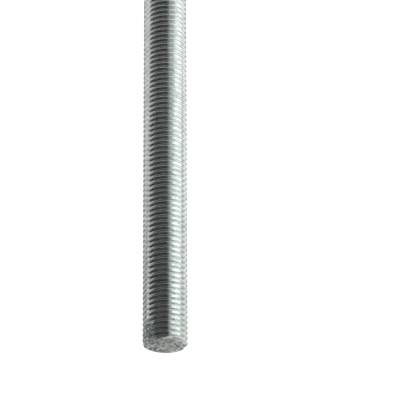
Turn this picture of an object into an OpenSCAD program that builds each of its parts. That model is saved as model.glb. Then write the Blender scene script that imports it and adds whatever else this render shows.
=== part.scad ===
// Threaded rod: a straight steel bar with one right-hand metric thread from end to end,
// cut off square, with a small chamfer at both ends. Millimetres, standing on its lower end.
// The origin is the centre of the lower end face, and +Z runs along the rod.

/* [Rod] */
// Length from end face to end face
rod_length = 250; // [60:5:280]
// Diameter over the thread crests
major_d = 24; // [18:1:30]
// How far the end chamfer cuts in from the crests
chamfer_depth = 1.5; // [0.5:0.1:1.6]
// Angle of the end chamfer, measured from the end face
chamfer_angle = 45; // [30:5:60]

/* [Thread] */
// Distance from one crest to the next
pitch = 3; // [2.5:0.25:4]
// Angle between the two flanks
flank_angle = 60; // [55:1:60]
// Where the first crest starts, as an angle round the rod
start_angle = 105; // [0:5:180]

/* [Smoothness] */
// Flat steps in one turn of the thread
steps_per_turn = 16; // [15:1:18]
// Sides of the round bar
round_sides = 96; // [48:8:144]

/* [Hidden] */

// Metric external thread: a crest flat of an eighth of the pitch, and the standard depth
crest_flat = pitch / 8;
thread_depth = 0.61343 * pitch;
flank_slope = tan(flank_angle / 2);

// Profile radii: the flanks run on past the crest flat to a sharp edge outside the bar
crest_r = major_d / 2;
root_r = crest_r - thread_depth;
sharp_r = crest_r + crest_flat / 2 / flank_slope;
// Half the height of a ridge where its flanks leave the root
ridge_half = (sharp_r - root_r) * flank_slope;

// A many-sided turn is widened so that it holds as much metal as the round one
half_step = 180 / steps_per_turn;
fullness = (half_step * PI / 180) / sin(half_step);

// The ridge starts this many turns below the lower end, and ends as many above the upper
spare_turns = 1.6;
turns = ceil(rod_length / pitch + 2 * spare_turns);
steps = turns * steps_per_turn;

chamfer_height = chamfer_depth * tan(chamfer_angle);

// Three points of the ridge at one step: lower foot, sharp edge, upper foot
function ridge_points(step) =
    let (angle = 360 * step / steps_per_turn, z = pitch * step / steps_per_turn)
    [
        at_angle(root_r, angle, z - ridge_half),
        at_angle(sharp_r, angle, z),
        at_angle(root_r, angle, z + ridge_half)
    ];

function at_angle(radius, angle, z) =
    [radius * fullness * cos(angle), radius * fullness * sin(angle), z];

// Faces between one step and the next: the two flanks of the ridge
function flank_faces(step) =
    let (foot = 3 * step, next = foot + 3)
    [
        [foot, foot + 1, next],
        [next, foot + 1, next + 1],
        [foot + 1, foot + 2, next + 1],
        [next + 1, foot + 2, next + 2]
    ];

// Faces across the root, from this step's upper foot to the lower foot one turn on
function root_faces(step) =
    let (foot = 3 * step + 2, turn_on = 3 * (step + steps_per_turn))
    [
        [foot, turn_on, foot + 3],
        [foot + 3, turn_on, turn_on + 3]
    ];

// The endless thread: one ridge that winds up round the axis, closed by a fan at each end
module thread_body() {
    last = 3 * steps;
    low_centre = last + 3;
    high_centre = last + 4;
    first_turn_end = 3 * steps_per_turn;
    last_turn_start = 3 * (steps - steps_per_turn);
    points = concat(
        [for (step = [0 : steps]) each ridge_points(step)],
        [[0, 0, -ridge_half], [0, 0, pitch * turns + ridge_half]]
    );
    sides = concat(
        [for (step = [0 : steps - 1]) each flank_faces(step)],
        [for (step = [0 : steps - steps_per_turn - 1]) each root_faces(step)]
    );
    low_fan = concat(
        [for (step = [0 : steps_per_turn - 1]) [low_centre, 3 * step, 3 * step + 3]],
        [[low_centre, first_turn_end, 2], [low_centre, 2, 1], [low_centre, 1, 0]]
    );
    high_fan = concat(
        [for (step = [steps - steps_per_turn : steps - 1]) [high_centre, 3 * step + 5, 3 * step + 2]],
        [
            [high_centre, last_turn_start + 2, last],
            [high_centre, last, last + 1],
            [high_centre, last + 1, last + 2]
        ]
    );
    polyhedron(points, concat(sides, low_fan, high_fan));
}

// The round bar, chamfered at both ends, that the crests lie on
module bar() {
    end_r = crest_r - chamfer_depth;
    rotate_extrude($fn = round_sides)
        polygon([
            [0, 0],
            [end_r, 0],
            [crest_r, chamfer_height],
            [crest_r, rod_length - chamfer_height],
            [end_r, rod_length],
            [0, rod_length]
        ]);
}

module threaded_rod() {
    color("silver")
        intersection() {
            bar();
            rotate(start_angle)
                translate([0, 0, -spare_turns * pitch])
                    thread_body();
        }
}

threaded_rod();
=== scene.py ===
# Threaded rod: a zinc-plated steel bar with a metric thread from end to end.
# Metres. The rod stands on its lower end at the origin, with +Z along its axis.
# The camera looks down on the upper end and is rolled half a turn, so that the end
# hangs at the bottom of the picture with its face in view.
import math

import bpy
from mathutils import Matrix, Vector, noise


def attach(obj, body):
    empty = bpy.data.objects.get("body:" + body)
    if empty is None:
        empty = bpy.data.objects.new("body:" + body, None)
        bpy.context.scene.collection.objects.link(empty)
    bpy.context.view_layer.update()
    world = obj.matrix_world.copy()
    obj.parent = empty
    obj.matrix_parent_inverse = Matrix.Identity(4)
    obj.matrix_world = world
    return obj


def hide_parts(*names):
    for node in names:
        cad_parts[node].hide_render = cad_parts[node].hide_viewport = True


MM = 0.001

# Rod, as in the part's source
ROD_LENGTH = 250 * MM
MAJOR_R = 12 * MM
PITCH = 3 * MM
CHAMFER_DEPTH = 1.5 * MM
THREAD_DEPTH = 0.61343 * PITCH
ROOT_R = MAJOR_R - THREAD_DEPTH
CREST_FLAT = PITCH / 8
FLANK_SLOPE = math.tan(math.radians(30))
ROOT_FLAT = PITCH - CREST_FLAT - 2 * THREAD_DEPTH * FLANK_SLOPE
START_ANGLE = math.radians(105)

# Thread as it is wound here: finer steps, and the rounds that rolling leaves
TURN_STEPS = 56
SPARE_TURNS = 1.6
ROOT_ROUND = 0.24 * MM
CREST_ROUND = 0.18 * MM
ROUND_SEGMENTS = 3
# How far the wound thread stands past both ends before the blank cuts it
CUT_MARGIN = 0.4 * MM
CUT_PRECISION = 0.0001 * MM
# Points of the outline that are this near each other are one
MERGE_DISTANCE = 0.001 * MM
# How far a point may lie off a plane and still count as on it
ON_PLANE = 0.01 * MM
# Edges sharper than this stay sharp
SMOOTH_ANGLE = math.radians(40)
FLANK_WEIGHT = 100

# Blank: the round bar that cuts the thread to length, just clear of the crests
BLANK_SIDES = 192
BLANK_R = MAJOR_R + 0.02 * MM

# Sawn end faces. The depths are in millimetres, and the scales are turns of the noise
# for each millimetre.
FACE_RINGS = 24
FACE_RING_WIDTH = 0.42 * MM
SAW_SLOPE = 0.03
# The lower face is this much of the upper one
LOWER_FACE_SHARE = 0.5
SAW_DEPTH = 0.30
BROAD_DEPTH = 0.34
BROAD_SCALE = 0.32
BROAD_START = Vector((3.1, 7.4, 0.0))
SMALL_DEPTH = 0.17
SMALL_SCALE = 1.1
SMALL_START = Vector((8.2, 1.7, 5.0))
# Arcs that the saw blade left, round a centre beside the rod
BLADE_DEPTH = 0.04
BLADE_CENTRE = Vector((-19.0, 6.0, 0.0))
BLADE_RATE = 2.6
# The rim, which is worn more toward one corner
RIM_START = 8.6
RIM_WIDTH = 1.9
CORNER_ANGLE = math.radians(48)
CORNER_DEPTH = 0.25
RIM_DEPTH = 0.14
RIM_SCALE = 0.5
# Mounds (+) and pits (-) on the upper face: x, y, reach and height in millimetres
FACE_SPOTS = [
    (5.2, -1.6, 1.6, 0.34),
    (1.6, 1.6, 1.1, 0.26),
    (0.9, 3.4, 1.0, -0.45),
    (3.7, 2.0, 1.3, -0.30),
    (-3.0, -2.5, 3.0, 0.16),
    (-6.5, 2.5, 2.2, 0.14),
    (7.6, 3.2, 1.3, -0.30),
]

# Battered threads beside the upper end, on the left of the picture
PATCH_ANGLE = math.radians(-90 + 56)
PATCH_HALF = math.radians(27)
PATCH_EDGE = 0.35
PATCH_LENGTH = 12.6 * MM
PATCH_FOOT = ROD_LENGTH - PATCH_LENGTH
PATCH_FADE = 3 * MM
PATCH_STEP = 0.4 * MM
# Points below this height, or nearer the axis than this, aren't beaten in
PATCH_LOWEST = PATCH_FOOT - 0.1 * MM
PATCH_INNER_R = MAJOR_R - 1.4 * MM
# Knocks, and the smaller dints on them: depths in millimetres, scales as on the end faces
KNOCK_DEPTH = 0.42
KNOCK_CHANGE = 0.55
KNOCK_SCALE = 0.9
DINT_SCALE = 2.1
DINT_SHARE = 0.6

# Finish. The scales are turns of the noise for each metre.
CLOUD_SCALE = 260
BLOTCH_SCALE = 420
GRAIN_SCALE = 1500
# Where the sawn finish begins, or is full, at the upper end, at the foot and from the axis
SAWN_TOP_START = ROD_LENGTH - 1.5 * MM
SAWN_TOP_FULL = ROD_LENGTH - 0.9 * MM
SAWN_FOOT_FULL = 0.5 * MM
SAWN_FOOT_END = 0.9 * MM
SAWN_R_FULL = MAJOR_R - 1.25 * MM
SAWN_R_END = MAJOR_R - 1.0 * MM
# Dull mottle of the knocks: its middle, and how far it reaches with its ragged edge
MOTTLE_R = MAJOR_R - 0.5 * MM
MOTTLE_MIDDLE = (
    MOTTLE_R * math.cos(PATCH_ANGLE),
    MOTTLE_R * math.sin(PATCH_ANGLE),
    ROD_LENGTH - 0.5 * PATCH_LENGTH,
)
MOTTLE_FULL = 7.0 * MM
MOTTLE_END = 9.5 * MM
MOTTLE_RAGGED = 5 * MM
# Colours from the thread's root to its crest: painted shade that darkens the root, and wear that
# rubs the crest lighter
ROOT_SHADE_AND_WEAR_TONES = [
    (0.0, (0.74, 0.77, 0.75)),
    (0.2, (0.82, 0.85, 0.83)),
    (0.9, (0.82, 0.85, 0.83)),
    (1.0, (0.88, 0.91, 0.90)),
]
# Colours from the low of the noise to its high
CLOUD_TONES = [
    (0.30, (0.74, 0.76, 0.74)),
    (0.55, (0.95, 0.95, 0.95)),
    (0.75, (1.0, 1.0, 1.0)),
]
SAWN_TONES = [
    (0.40, (0.12, 0.12, 0.11)),
    (0.47, (0.44, 0.46, 0.44)),
    (0.55, (0.66, 0.69, 0.67)),
    (0.62, (0.95, 0.98, 0.97)),
]
MOTTLE_TONES = [
    (0.39, (0.14, 0.16, 0.15)),
    (0.47, (0.46, 0.51, 0.48)),
    (0.55, (0.72, 0.79, 0.76)),
    (0.62, (0.94, 1.0, 0.98)),
]
# Roughness: a low and a high of the noise, and the roughness at each
PLATED_ROUGHNESS = (0.35, 0.7, 0.15, 0.08)
SAWN_ROUGHNESS = (0.3, 0.7, 0.5, 0.36)
MOTTLE_ROUGHNESS = 0.42
# Bump: how strongly the noise stands out on the thread and on the sawn faces
PLATED_BUMP = 0.10
SAWN_BUMP = 1.6
BUMP_STRENGTH = 0.5
BUMP_DISTANCE = 0.05 * MM

# Camera, measured on the photograph's 400 pixel frame
FRAME_PX = 400
FOCAL_PX = 2333
SENSOR_MM = 36
END_DISTANCE = 1.2264
LOOK_DOWN = math.radians(24.9)
AXIS_PX = 34.9
END_FACE_PX = 147.1

# Stage
FLOOR_SIZE = 12
FLOOR_GREY = 0.8
FLOOR_GLOW = 0.6
WORLD_LEVEL = 0.6
SOFT_BOX_PLACE = (-0.73, -0.33, 1.64)
SOFT_BOX_AIM = (0, 0, 0.2)
SOFT_BOX_SIZE = 0.6
SOFT_BOX_POWER = 5

# Cards of the light tent, as the rod sees them: from and to in degrees round the rod
# (0 is the camera's side, positive is on the right of the picture) with the softness of
# those two edges, from and to in degrees above the level with their softness, and the tone.
# Later cards lie over earlier ones.
TENT_RADIUS = 5.0
TENT_TINT = (0.98, 1.0, 0.99)
TENT_TONE = 0.38
TENT_CARDS = [
    # Grey roof
    (-400, 400, 3, 3, 12, 91, 8, 0.36),
    # Left: dark below, pale above, and a white strip at the level
    (-145, -114, 12, 12, -90, -8, 6, 0.20),
    (-122, -62, 12, 10, -90, -8, 6, 0.06),
    (-145, -71, 12, 22, -5, 62, 6, 0.86),
    (-145, -116, 12, 12, -5, 62, 6, 0.66),
    (-145, -108, 12, 18, -12, 1, 5, 1.10),
    # Right: white up to the level, and grey overhead
    (38, 165, 34, 12, -90, 10, 8, 1.75),
    (40, 165, 30, 12, 50, 91, 8, 0.60),
    # Behind the rod
    (156, 213, 16, 3, -90, 11, 8, 0.30),
    (150, 213, 16, 3, 33, 75, 10, 0.70),
    # Camera's side: black below, dark at the level and pale overhead
    (-66, 24, 10, 12, -90, -23, 5, 0.01),
    (-62, 21, 12, 14, -23, 30, 5, 0.16),
    (-62, 21, 12, 14, 30, 91, 10, 0.72),
    # Strips below the level there, the last one toward the right
    (-60, 24, 10, 12, -25, -13, 4, 0.06),
    (-58, 21, 10, 14, -34, -27, 4, 0.09),
    (16, 34, 12, 10, -34, -27, 4, 0.32),
]
# The count of degrees starts here, behind the rod on the left
SEAM = -145

# Near screens: the cards are given in the same way, but from and to in metres above the
# floor, so that the two ends of the rod see them at different angles.
SCREEN_SIDES = 180
SCREEN_SOFT = 12
SCREEN_TONE = 0.38
# Pale screen on the right of the picture. It goes on below the floor, because the metal
# doesn't reflect the floor.
SIDE_RADIUS = 0.5
SIDE_FOOT = -0.45
SIDE_TOP = 1.4
SIDE_LEFT = 24
SIDE_RIGHT = 158
SIDE_CARDS = [
    (40, 175, 36, 3, -2, 3, 0.1, 1.75),
    (24, 175, 20, 3, -3, -0.125, 0.06, 0.50),
    (70, 175, 50, 3, -3, -0.115, 0.06, 1.05),
    (38, 175, 34, 3, 0.62, 3, 0.1, 0.42),
    (32, 64, 18, 16, 0.02, 0.62, 0.04, 0.42),
    (64, 108, 16, 16, 0.09, 0.62, 0.04, 0.72),
    (106, 175, 20, 3, 0.16, 0.38, 0.06, 0.98),
    (108, 175, 24, 3, 0.38, 0.72, 0.10, 0.66),
    (106, 175, 30, 3, 0.08, 0.24, 0.10, 0.48),
]
# Dark flag above the upper end, round the left and the camera's side, which darkens the rod
# more the nearer that end
FLAG_RADIUS = 0.2
FLAG_FOOT = 0.33
FLAG_TOP = 1.4
FLAG_LEFT = -150
FLAG_RIGHT = 22
FLAG_CARDS = [
    (-400, 400, 3, 3, 0, 3, 0.1, 0.12),
    (-150, -72, 12, 20, 0, 3, 0.1, 0.26),
]


def select_only(piece):
    bpy.ops.object.select_all(action="DESELECT")
    piece.select_set(True)
    bpy.context.view_layer.objects.active = piece


def edit(piece):
    select_only(piece)
    bpy.ops.object.mode_set(mode="EDIT")


def leave_edit():
    bpy.ops.object.mode_set(mode="OBJECT")


def select_points(piece, wanted):
    """Selects the points of a piece in edit mode whose place passes the test."""
    bpy.ops.mesh.select_mode(type="VERT")
    bpy.ops.mesh.select_all(action="DESELECT")
    leave_edit()
    for point in piece.data.vertices:
        point.select = wanted(point.co)
    bpy.ops.object.mode_set(mode="EDIT")


def select_flat_ends(piece):
    """Selects the faces of a piece in edit mode that point straight up or down."""
    bpy.ops.mesh.select_all(action="DESELECT")
    leave_edit()
    for face in piece.data.polygons:
        face.select = abs(face.normal.z) > 0.9
    bpy.ops.object.mode_set(mode="EDIT")


def apply_modifier(piece, modifier):
    select_only(piece)
    bpy.ops.object.modifier_apply(modifier=modifier.name)


def keep_place(piece):
    """Puts the place of a new piece into its mesh, so that its object is at the origin."""
    select_only(piece)
    bpy.ops.object.transform_apply(location=True, rotation=True, scale=True)


def share_of(value):
    """A value held between none and all."""
    return min(max(value, 0), 1)


def thread_line():
    """The outline of one turn, from one crest to the next, with sharp corners."""
    bpy.ops.mesh.primitive_plane_add(size=PITCH, location=(0, 0, 0))
    line = bpy.context.object
    line.name = "threaded_rod_skin"
    edit(line)
    select_points(line, lambda co: co.x > 0 or co.y > 0)
    bpy.ops.mesh.delete(type="VERT")
    leave_edit()
    line.data.vertices[0].co = (MAJOR_R, 0, 0)
    flank_height = THREAD_DEPTH * FLANK_SLOPE
    moves = [
        (0, CREST_FLAT / 2),
        (-THREAD_DEPTH, flank_height),
        (0, ROOT_FLAT),
        (THREAD_DEPTH, flank_height),
        (0, CREST_FLAT / 2),
    ]
    edit(line)
    bpy.ops.mesh.select_all(action="SELECT")
    for across, up in moves:
        bpy.ops.mesh.extrude_region_move(TRANSFORM_OT_translate={"value": (across, 0, up)})
    return line


def round_corners(line):
    """Rounds the root and the crest of the outline, as thread rolling leaves them."""
    select_points(line, lambda co: co.x < ROOT_R + THREAD_DEPTH / 2)
    bpy.ops.mesh.bevel(offset=ROOT_ROUND, segments=ROUND_SEGMENTS, affect="VERTICES")
    select_points(line, lambda co: co.x > MAJOR_R - ON_PLANE and ON_PLANE < co.z < PITCH - ON_PLANE)
    bpy.ops.mesh.bevel(offset=CREST_ROUND, segments=ROUND_SEGMENTS, affect="VERTICES")
    leave_edit()


def cut_flat(height, keep_above):
    """Cuts the piece in edit mode square across at a height, and closes the cut."""
    bpy.ops.mesh.select_all(action="SELECT")
    bpy.ops.mesh.bisect(
        plane_co=(0, 0, height),
        plane_no=(0, 0, 1),
        use_fill=True,
        clear_inner=keep_above,
        clear_outer=not keep_above,
        threshold=CUT_PRECISION,
    )


def wind_thread():
    """Winds the outline up the rod, and closes it with flat cuts past both ends."""
    thread = thread_line()
    round_corners(thread)
    screw = thread.modifiers.new("thread", "SCREW")
    screw.axis = "Z"
    screw.angle = math.radians(360)
    screw.screw_offset = PITCH
    screw.iterations = math.ceil(ROD_LENGTH / PITCH + 2 * SPARE_TURNS)
    screw.steps = TURN_STEPS
    screw.render_steps = TURN_STEPS
    apply_modifier(thread, screw)
    below = Matrix.Translation((0, 0, -SPARE_TURNS * PITCH))
    thread.data.transform(below @ Matrix.Rotation(START_ANGLE, 4, "Z"))
    edit(thread)
    bpy.ops.mesh.select_all(action="SELECT")
    bpy.ops.mesh.remove_doubles(threshold=MERGE_DISTANCE)
    cut_flat(-CUT_MARGIN, keep_above=True)
    cut_flat(ROD_LENGTH + CUT_MARGIN, keep_above=False)
    bpy.ops.mesh.select_all(action="SELECT")
    bpy.ops.mesh.normals_make_consistent(inside=False)
    leave_edit()
    return thread


def uneven_face(x, y, slope):
    """How far the sawn face lies below the rod's end at a place on it, in metres."""
    place = Vector((x, y, 0)) / MM
    broad = noise.noise(place * BROAD_SCALE + BROAD_START)
    small = noise.noise(place * SMALL_SCALE + SMALL_START)
    blade = math.sin(BLADE_RATE * (place - BLADE_CENTRE).length)
    depth = SAW_DEPTH + BROAD_DEPTH * broad + SMALL_DEPTH * small + BLADE_DEPTH * blade
    for spot_x, spot_y, reach, height in FACE_SPOTS:
        away = (place - Vector((spot_x, spot_y, 0))).length / reach
        depth -= height * math.exp(-away * away)
    rim = share_of((place.length - RIM_START) / RIM_WIDTH)
    corner = max(math.cos(math.atan2(y, x) - CORNER_ANGLE), 0) ** 4
    worn = CORNER_DEPTH * corner + RIM_DEPTH * max(noise.noise(place * RIM_SCALE), 0)
    tilt = slope * (place.y + MAJOR_R / MM - CHAMFER_DEPTH / MM)
    return (max(depth * (1 - rim) + worn * rim, 0) + max(tilt, 0)) * MM


def battered(angle, height):
    """How far the crests are beaten in at a place on the rod's side, in metres."""
    off = abs(math.atan2(math.sin(angle - PATCH_ANGLE), math.cos(angle - PATCH_ANGLE)))
    along = share_of((height - PATCH_FOOT) / PATCH_FADE)
    share = along * share_of((PATCH_HALF - off) / (PATCH_HALF * PATCH_EDGE))
    side = Vector((math.cos(angle), math.sin(angle), 0)) * (MAJOR_R / MM)
    place = side + Vector((0, 0, height / MM))
    knocks = noise.noise(place * KNOCK_SCALE) + DINT_SHARE * noise.noise(place * DINT_SCALE)
    return share * max(KNOCK_DEPTH + KNOCK_CHANGE * knocks, 0) * MM


def batter_side(blank):
    """Beats in the blank's side near its upper end, where the threads took knocks."""
    edit(blank)
    for level in range(round(PATCH_LENGTH / PATCH_STEP)):
        bpy.ops.mesh.select_all(action="SELECT")
        bpy.ops.mesh.bisect(
            plane_co=(0, 0, PATCH_FOOT + level * PATCH_STEP),
            plane_no=(0, 0, 1),
            threshold=CUT_PRECISION,
        )
    leave_edit()
    for point in blank.data.vertices:
        place = point.co
        if place.z < PATCH_LOWEST or place.xy.length < PATCH_INNER_R:
            continue
        angle = math.atan2(place.y, place.x)
        shorter = 1 - battered(angle, place.z) / place.xy.length
        point.co.x *= shorter
        point.co.y *= shorter


def end_blank():
    """A round bar with chamfered, uneven ends, which cuts the wound thread to length."""
    bpy.ops.mesh.primitive_cylinder_add(
        vertices=BLANK_SIDES, radius=BLANK_R, depth=ROD_LENGTH, location=(0, 0, ROD_LENGTH / 2)
    )
    blank = bpy.context.object
    keep_place(blank)
    edit(blank)
    bpy.ops.mesh.select_mode(type="FACE")
    select_flat_ends(blank)
    bpy.ops.mesh.bevel(offset=CHAMFER_DEPTH, segments=1, affect="EDGES")
    select_flat_ends(blank)
    for ring in range(FACE_RINGS):
        bpy.ops.mesh.inset(thickness=FACE_RING_WIDTH, use_boundary=True)
    bpy.ops.mesh.poke()
    leave_edit()
    for point in blank.data.vertices:
        place = point.co
        if place.z > ROD_LENGTH - ON_PLANE:
            point.co.z -= uneven_face(place.x, place.y, SAW_SLOPE)
        elif place.z < ON_PLANE:
            # The lower face is turned a quarter round, and has no slope
            point.co.z += LOWER_FACE_SHARE * uneven_face(-place.y, place.x, 0)
    batter_side(blank)
    return blank


def cut_to_length(skin, blank):
    """Keeps what lies inside the blank, and removes the blank."""
    cut = skin.modifiers.new("length", "BOOLEAN")
    cut.operation = "INTERSECT"
    cut.solver = "MANIFOLD"
    cut.object = blank
    apply_modifier(skin, cut)
    bpy.data.objects.remove(blank)


def shade_thread(skin):
    """Smooth rounds between flat flanks."""
    select_only(skin)
    bpy.ops.object.shade_smooth_by_angle(angle=SMOOTH_ANGLE)
    weighted = skin.modifiers.new("flat_flanks", "WEIGHTED_NORMAL")
    weighted.weight = FLANK_WEIGHT
    weighted.keep_sharp = True
    apply_modifier(skin, weighted)


def colour(red, green, blue):
    return (red, green, blue, 1)


def feed(tree, socket, value):
    """Puts a plain value on a socket, or links another socket to it."""
    if isinstance(value, bpy.types.NodeSocket):
        tree.links.new(value, socket)
    else:
        socket.default_value = value


def math_node(tree, operation, first, second=None):
    node = tree.nodes.new("ShaderNodeMath")
    node.operation = operation
    feed(tree, node.inputs[0], first)
    if second is not None:
        feed(tree, node.inputs[1], second)
    return node.outputs[0]


def mix_node(tree, kind, share, first, second, blend="MIX"):
    """A blend of two numbers (FLOAT) or of two colours (RGBA)."""
    node = tree.nodes.new("ShaderNodeMix")
    node.data_type = kind
    node.blend_type = blend
    feed(tree, node.inputs["Factor"], share)
    feed(tree, node.inputs["A"], first)
    feed(tree, node.inputs["B"], second)
    return node.outputs["Result"]


def map_node(tree, value, from_low, from_high, to_low=0, to_high=1):
    """A smooth step of a value from one range to another."""
    node = tree.nodes.new("ShaderNodeMapRange")
    node.interpolation_type = "SMOOTHSTEP"
    node.inputs["From Min"].default_value = from_low
    node.inputs["From Max"].default_value = from_high
    node.inputs["To Min"].default_value = to_low
    node.inputs["To Max"].default_value = to_high
    tree.links.new(value, node.inputs["Value"])
    return node.outputs["Result"]


def ramp_node(tree, value, stops):
    """A colour ramp through the given (position, colour) stops."""
    node = tree.nodes.new("ShaderNodeValToRGB")
    elements = node.color_ramp.elements
    elements.remove(elements[-1])
    for number, (position, tone) in enumerate(stops):
        stop = elements[0] if number == 0 else elements.new(position)
        stop.position = position
        stop.color = colour(*tone)
    tree.links.new(value, node.inputs[0])
    return node.outputs[0]


def noise_node(tree, where, scale, detail, roughness):
    node = tree.nodes.new("ShaderNodeTexNoise")
    node.inputs["Scale"].default_value = scale
    node.inputs["Detail"].default_value = detail
    node.inputs["Roughness"].default_value = roughness
    tree.links.new(where, node.inputs["Vector"])
    return node.outputs["Fac"]


def radius_node(tree, side_x, side_y):
    """The distance from the rod's axis."""
    square_x = math_node(tree, "MULTIPLY", side_x, side_x)
    square_y = math_node(tree, "MULTIPLY", side_y, side_y)
    return math_node(tree, "SQRT", math_node(tree, "ADD", square_x, square_y))


def plated_side(tree, radius, cloud):
    """The colour of the plated thread: painted shade that darkens the root, rubbed bright on the
    crest.
    """
    # Painted shade in the thread's root, lighter toward the rubbed crest
    root_shade_and_wear = ramp_node(tree, map_node(tree, radius, ROOT_R, MAJOR_R), ROOT_SHADE_AND_WEAR_TONES)
    clouds = ramp_node(tree, cloud, CLOUD_TONES)
    return mix_node(tree, "RGBA", 1, root_shade_and_wear, clouds, blend="MULTIPLY")


def sawn_share(tree, radius, height):
    """One on both sawn end faces, and zero on the thread."""
    upper = map_node(tree, height, SAWN_TOP_START, SAWN_TOP_FULL)
    lower = map_node(tree, height, SAWN_FOOT_FULL, SAWN_FOOT_END, 1, 0)
    inside = map_node(tree, radius, SAWN_R_FULL, SAWN_R_END, 1, 0)
    return math_node(tree, "MULTIPLY", math_node(tree, "MAXIMUM", upper, lower), inside)


def mottled_share(tree, where, blotch):
    """One on the battered stretch of thread, with a ragged edge."""
    away = tree.nodes.new("ShaderNodeVectorMath")
    away.operation = "DISTANCE"
    tree.links.new(where, away.inputs[0])
    away.inputs[1].default_value = MOTTLE_MIDDLE
    edge = math_node(tree, "MULTIPLY", blotch, MOTTLE_RAGGED)
    ragged = math_node(tree, "ADD", away.outputs["Value"], edge)
    return map_node(tree, ragged, MOTTLE_FULL, MOTTLE_END, 1, 0)


def zinc_plating():
    """Bright zinc: dull with painted shade in the thread's root, rubbed on its crests, mottled,
    rough at the ends.
    """
    material = bpy.data.materials.new("bright_zinc_plating")
    material.use_nodes = True
    tree = material.node_tree
    shader = tree.nodes["Principled BSDF"]
    shader.inputs["Metallic"].default_value = 1
    where = tree.nodes.new("ShaderNodeTexCoord").outputs["Object"]
    split = tree.nodes.new("ShaderNodeSeparateXYZ")
    tree.links.new(where, split.inputs[0])
    side_x, side_y, height = split.outputs
    radius = radius_node(tree, side_x, side_y)
    cloud = noise_node(tree, where, CLOUD_SCALE, 5, 0.6)
    blotch = noise_node(tree, where, BLOTCH_SCALE, 6, 0.65)
    grain = noise_node(tree, where, GRAIN_SCALE, 4, 0.6)
    sawn = sawn_share(tree, radius, height)
    mottled = mottled_share(tree, where, blotch)

    side = plated_side(tree, radius, cloud)
    with_faces = mix_node(tree, "RGBA", sawn, side, ramp_node(tree, blotch, SAWN_TONES))
    mottle = ramp_node(tree, grain, MOTTLE_TONES)
    skin_colour = mix_node(tree, "RGBA", mottled, with_faces, mottle)
    tree.links.new(skin_colour, shader.inputs["Base Color"])

    side_rough = map_node(tree, cloud, *PLATED_ROUGHNESS)
    sawn_rough = map_node(tree, grain, *SAWN_ROUGHNESS)
    rough = mix_node(tree, "FLOAT", sawn, side_rough, sawn_rough)
    rough = mix_node(tree, "FLOAT", mottled, rough, MOTTLE_ROUGHNESS)
    tree.links.new(rough, shader.inputs["Roughness"])

    side_bump = math_node(tree, "MULTIPLY", grain, PLATED_BUMP)
    sawn_bump = math_node(tree, "MULTIPLY", math_node(tree, "ADD", grain, blotch), SAWN_BUMP)
    bump = tree.nodes.new("ShaderNodeBump")
    bump.inputs["Strength"].default_value = BUMP_STRENGTH
    bump.inputs["Distance"].default_value = BUMP_DISTANCE
    bump_height = mix_node(tree, "FLOAT", sawn, side_bump, sawn_bump)
    tree.links.new(bump_height, bump.inputs["Height"])
    tree.links.new(bump.outputs[0], shader.inputs["Normal"])
    return material


def bare_material(name):
    """A material for the stage, with an empty node tree."""
    material = bpy.data.materials.new(name)
    material.use_nodes = True
    material.node_tree.nodes.clear()
    return material


def show_shader(tree, shader):
    out = tree.nodes.new("ShaderNodeOutputMaterial")
    tree.links.new(shader, out.inputs["Surface"])


def seen_straight(tree):
    """One where the camera, the metal or glass looks straight at the stage."""
    path = tree.nodes.new("ShaderNodeLightPath")
    seen = math_node(tree, "ADD", path.outputs["Is Camera Ray"], path.outputs["Is Glossy Ray"])
    seen = math_node(tree, "ADD", seen, path.outputs["Is Transmission Ray"])
    return math_node(tree, "MINIMUM", seen, 1)


def stage_floor():
    """A matt white floor that keeps the rod's shadow and fills the picture with white."""
    bpy.ops.mesh.primitive_plane_add(size=FLOOR_SIZE, location=(0, 0, 0))
    floor = bpy.context.object
    floor.name = "floor"
    floor.visible_glossy = False
    material = bare_material("floor_white")
    tree = material.node_tree
    matte = tree.nodes.new("ShaderNodeBsdfDiffuse")
    matte.inputs["Color"].default_value = colour(FLOOR_GREY, FLOOR_GREY, FLOOR_GREY)
    glow = tree.nodes.new("ShaderNodeEmission")
    strength = math_node(tree, "MULTIPLY", seen_straight(tree), FLOOR_GLOW)
    tree.links.new(strength, glow.inputs["Strength"])
    add = tree.nodes.new("ShaderNodeAddShader")
    tree.links.new(matte.outputs[0], add.inputs[0])
    tree.links.new(glow.outputs[0], add.inputs[1])
    show_shader(tree, add.outputs[0])
    floor.data.materials.append(material)


def between(tree, value, low, high, low_soft, high_soft):
    """One between the two limits of a value, and zero outside them, with soft edges."""
    rise = map_node(tree, value, low - low_soft / 2, low + low_soft / 2)
    fall = map_node(tree, value, high - high_soft / 2, high + high_soft / 2, 1, 0)
    return math_node(tree, "MULTIPLY", rise, fall)


def place_round_rod(tree):
    """Degrees round the rod from the seam on, and the height, of a place on a sheet."""
    where = tree.nodes.new("ShaderNodeTexCoord")
    split = tree.nodes.new("ShaderNodeSeparateXYZ")
    tree.links.new(where.outputs["Object"], split.inputs[0])
    across = math_node(tree, "MULTIPLY", split.outputs["X"], -1)
    near = math_node(tree, "MULTIPLY", split.outputs["Y"], -1)
    turn = math_node(tree, "DEGREES", math_node(tree, "ARCTAN2", across, near))
    before_seam = math_node(tree, "LESS_THAN", turn, SEAM)
    turn = math_node(tree, "ADD", turn, math_node(tree, "MULTIPLY", before_seam, 360))
    return turn, split.outputs["Z"]


def card_glow(tree, turn, level, tone, cards):
    """A glow of one tone, with the cards laid over it by angle and level."""
    for left, right, left_soft, right_soft, low, high, level_soft, shade in cards:
        across = between(tree, turn, left, right, left_soft, right_soft)
        upright = between(tree, level, low, high, level_soft, level_soft)
        tone = mix_node(tree, "FLOAT", math_node(tree, "MULTIPLY", across, upright), tone, shade)
    glow = tree.nodes.new("ShaderNodeEmission")
    glow.inputs["Color"].default_value = colour(*TENT_TINT)
    tree.links.new(tone, glow.inputs["Strength"])
    return glow.outputs[0]


def only_in_metal(sheet):
    """Hides a sheet of the stage from everything but reflections."""
    sheet.visible_camera = False
    sheet.visible_diffuse = False
    sheet.visible_shadow = False


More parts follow.
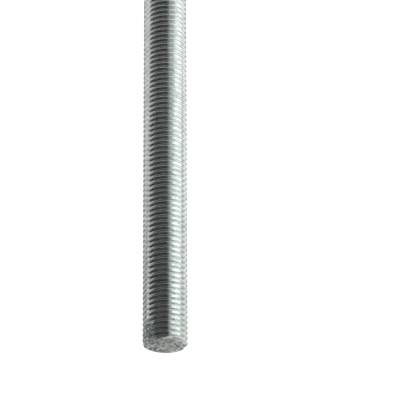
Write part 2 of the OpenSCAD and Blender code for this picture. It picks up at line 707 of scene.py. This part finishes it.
def light_tent():
    """A round tent of dark and light cards, which shows only in the metal."""
    bpy.ops.mesh.primitive_uv_sphere_add(
        segments=64, ring_count=32, radius=TENT_RADIUS, location=(0, 0, ROD_LENGTH / 2)
    )
    tent = bpy.context.object
    tent.name = "light_tent"
    material = bare_material("tent_cards")
    tree = material.node_tree
    turn, height = place_round_rod(tree)
    rise = math_node(tree, "ARCSINE", math_node(tree, "DIVIDE", height, TENT_RADIUS))
    rise = math_node(tree, "DEGREES", rise)
    show_shader(tree, card_glow(tree, turn, rise, TENT_TONE, TENT_CARDS))
    tent.data.materials.append(material)
    only_in_metal(tent)


def near_screen(name, radius, foot, top, left, right, cards):
    """A curved screen close to the rod, clear outside the given stretch round it."""
    bpy.ops.mesh.primitive_cylinder_add(
        vertices=SCREEN_SIDES,
        radius=radius,
        depth=top - foot,
        end_fill_type="NOTHING",
        location=(0, 0, (top + foot) / 2),
    )
    screen = bpy.context.object
    screen.name = name
    keep_place(screen)
    material = bare_material(name + "_cards")
    tree = material.node_tree
    turn, height = place_round_rod(tree)
    glow = card_glow(tree, turn, height, SCREEN_TONE, cards)
    clear = tree.nodes.new("ShaderNodeBsdfTransparent")
    fade = tree.nodes.new("ShaderNodeMixShader")
    tree.links.new(between(tree, turn, left, right, SCREEN_SOFT, SCREEN_SOFT), fade.inputs["Fac"])
    tree.links.new(clear.outputs[0], fade.inputs[1])
    tree.links.new(glow, fade.inputs[2])
    show_shader(tree, fade.outputs[0])
    screen.data.materials.append(material)
    only_in_metal(screen)


def studio_world():
    """Grey soft light all round, white where the camera or the metal looks straight at it."""
    world = bpy.data.worlds.new("studio")
    bpy.context.scene.world = world
    world.use_nodes = True
    tree = world.node_tree
    back = tree.nodes["Background"]
    back.inputs["Color"].default_value = colour(1, 1, 1)
    level = mix_node(tree, "FLOAT", seen_straight(tree), WORLD_LEVEL, 1)
    tree.links.new(level, back.inputs["Strength"])


def overhead_soft_box():
    """A square lamp for the rod's shadow on the floor, which the metal doesn't reflect."""
    light = bpy.data.lights.new("overhead_softbox", "AREA")
    light.shape = "RECTANGLE"
    light.size = SOFT_BOX_SIZE
    light.size_y = SOFT_BOX_SIZE
    light.energy = SOFT_BOX_POWER
    lamp = bpy.data.objects.new("overhead_softbox", light)
    bpy.context.scene.collection.objects.link(lamp)
    lamp.location = SOFT_BOX_PLACE
    down = Vector(SOFT_BOX_AIM) - Vector(SOFT_BOX_PLACE)
    lamp.rotation_euler = down.to_track_quat("-Z", "Y").to_euler()
    lamp.visible_glossy = False


def camera():
    """The view down on the upper end, turned half round about the line of sight."""
    data = bpy.data.cameras.new("camera")
    data.sensor_width = SENSOR_MM
    data.lens = SENSOR_MM * FOCAL_PX / FRAME_PX
    data.clip_start = 0.05
    data.clip_end = 50
    cam = bpy.data.objects.new("camera", data)
    bpy.context.scene.collection.objects.link(cam)
    look = Vector((0, math.cos(LOOK_DOWN), -math.sin(LOOK_DOWN)))
    up = Vector((0, math.sin(LOOK_DOWN), math.cos(LOOK_DOWN)))
    end_face = Vector((0, 0, ROD_LENGTH))
    eye = end_face - END_DISTANCE * (look + up * END_FACE_PX / FOCAL_PX)
    tilt = Matrix.Rotation(math.radians(90) - LOOK_DOWN, 4, "X")
    aside = Matrix.Rotation(math.atan(AXIS_PX / FOCAL_PX), 4, "Y")
    half_turn = Matrix.Rotation(math.radians(180), 4, "Z")
    cam.matrix_world = Matrix.Translation(eye) @ tilt @ aside @ half_turn
    bpy.context.scene.camera = cam


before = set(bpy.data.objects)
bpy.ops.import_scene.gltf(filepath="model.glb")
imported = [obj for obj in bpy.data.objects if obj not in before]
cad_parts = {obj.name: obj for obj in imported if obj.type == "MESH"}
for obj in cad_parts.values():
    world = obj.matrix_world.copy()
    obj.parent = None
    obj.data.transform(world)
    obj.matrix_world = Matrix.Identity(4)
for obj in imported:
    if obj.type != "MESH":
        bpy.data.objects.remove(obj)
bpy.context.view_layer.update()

skin = wind_thread()
cut_to_length(skin, end_blank())
shade_thread(skin)
skin.data.materials.clear()
skin.data.materials.append(zinc_plating())
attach(skin, "root")
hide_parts("threaded_rod")

stage_floor()
light_tent()
near_screen("side_screen", SIDE_RADIUS, SIDE_FOOT, SIDE_TOP, SIDE_LEFT, SIDE_RIGHT, SIDE_CARDS)
near_screen("dark_flag", FLAG_RADIUS, FLAG_FOOT, FLAG_TOP, FLAG_LEFT, FLAG_RIGHT, FLAG_CARDS)
studio_world()
overhead_soft_box()
camera()

scene = bpy.context.scene
scene.view_settings.view_transform = "Standard"
